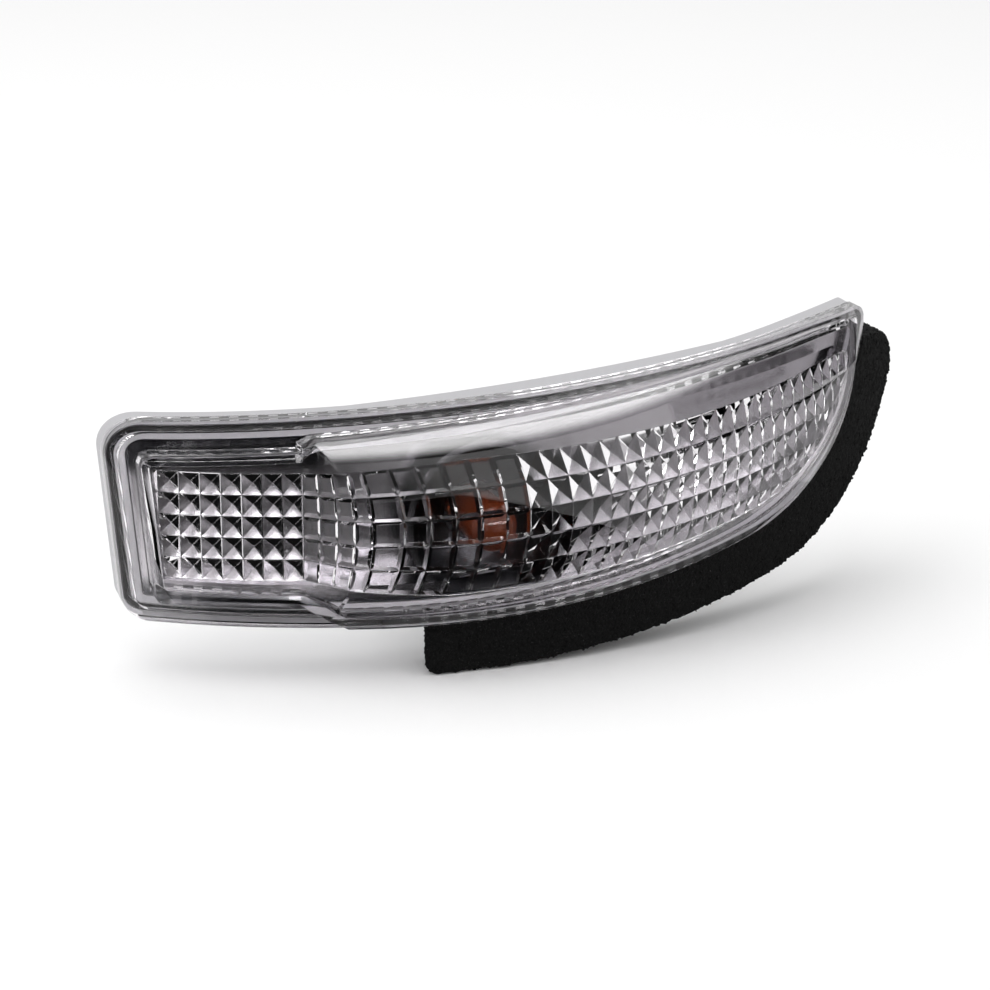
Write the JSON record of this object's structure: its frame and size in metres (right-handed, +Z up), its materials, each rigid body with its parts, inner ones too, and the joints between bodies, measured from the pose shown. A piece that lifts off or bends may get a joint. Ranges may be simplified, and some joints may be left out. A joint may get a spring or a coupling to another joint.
{
  "type": "mirror turn signal lamp",
  "caption": "Wrap-round turn signal lamp for a door mirror: clear lens with inner prisms, metallised reflector, amber wedge bulb in a twist-in socket, grey back shell, foam sealing strip.",
  "frame": {"origin": "mouth of the main screw boss on the back of the shell", "axes": "+X along the lamp's length to the right seen from the front, +Y to the back along the screw's axis, +Z up"},
  "size_m": [0.1771, 0.0615, 0.0608],
  "materials": {
    "clear_lens": "polished clear PMMA",
    "lens_sealant": "matt",
    "metallised_reflector": "mirror bright",
    "grey_shell": "fine grain",
    "amber_glass": "clear amber",
    "lead_wire": "drawn wire",
    "tungsten": "dull grey",
    "grey_socket": "satin",
    "contact_brass": "bright",
    "gasket_rubber": "matt",
    "vent_membrane": "matt",
    "black_foam": "open cut cells"
  },
  "bodies": {
    "root": {"outer_lens": "clear_lens", "lens_seal": "lens_sealant", "reflector": "metallised_reflector", "back_shell": "grey_shell", "bulb_glass": "amber_glass", "bulb_lead_left": "lead_wire", "bulb_lead_right": "lead_wire", "bulb_filament": "tungsten", "bulb_socket": "grey_socket", "contact_left": "contact_brass", "contact_right": "contact_brass", "socket_gasket": "gasket_rubber", "vent_patch": "vent_membrane", "foam_strip": "black_foam"}
  },
  "joints": []
}
